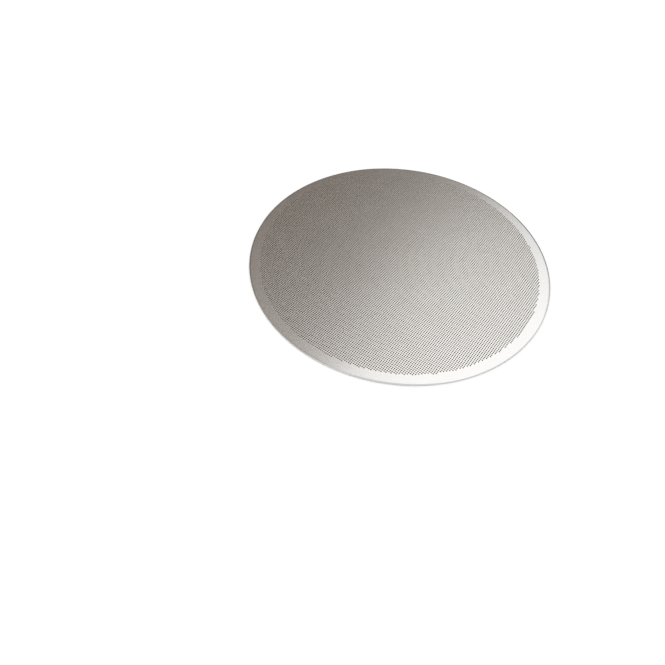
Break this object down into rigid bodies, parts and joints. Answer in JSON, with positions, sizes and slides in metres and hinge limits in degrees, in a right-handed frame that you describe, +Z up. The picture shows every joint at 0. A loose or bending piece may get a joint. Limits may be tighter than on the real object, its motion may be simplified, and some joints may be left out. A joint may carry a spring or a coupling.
{
  "type": "wire mesh filter disc",
  "caption": "Thin flat round filter disc of etched stainless steel, with a plain rim around a fine perforated field that liquid passes through.",
  "frame": {"origin": "centre of the disc on its underside", "axes": "+Z up through the disc along its axis, +X to the right and +Y away from the viewer as pictured"},
  "size_m": [0.062, 0.062, 0.0002],
  "materials": {
    "etched_steel": "satin etched stainless steel"
  },
  "bodies": {
    "root": {"filter_disc": "etched_steel"}
  },
  "joints": []
}
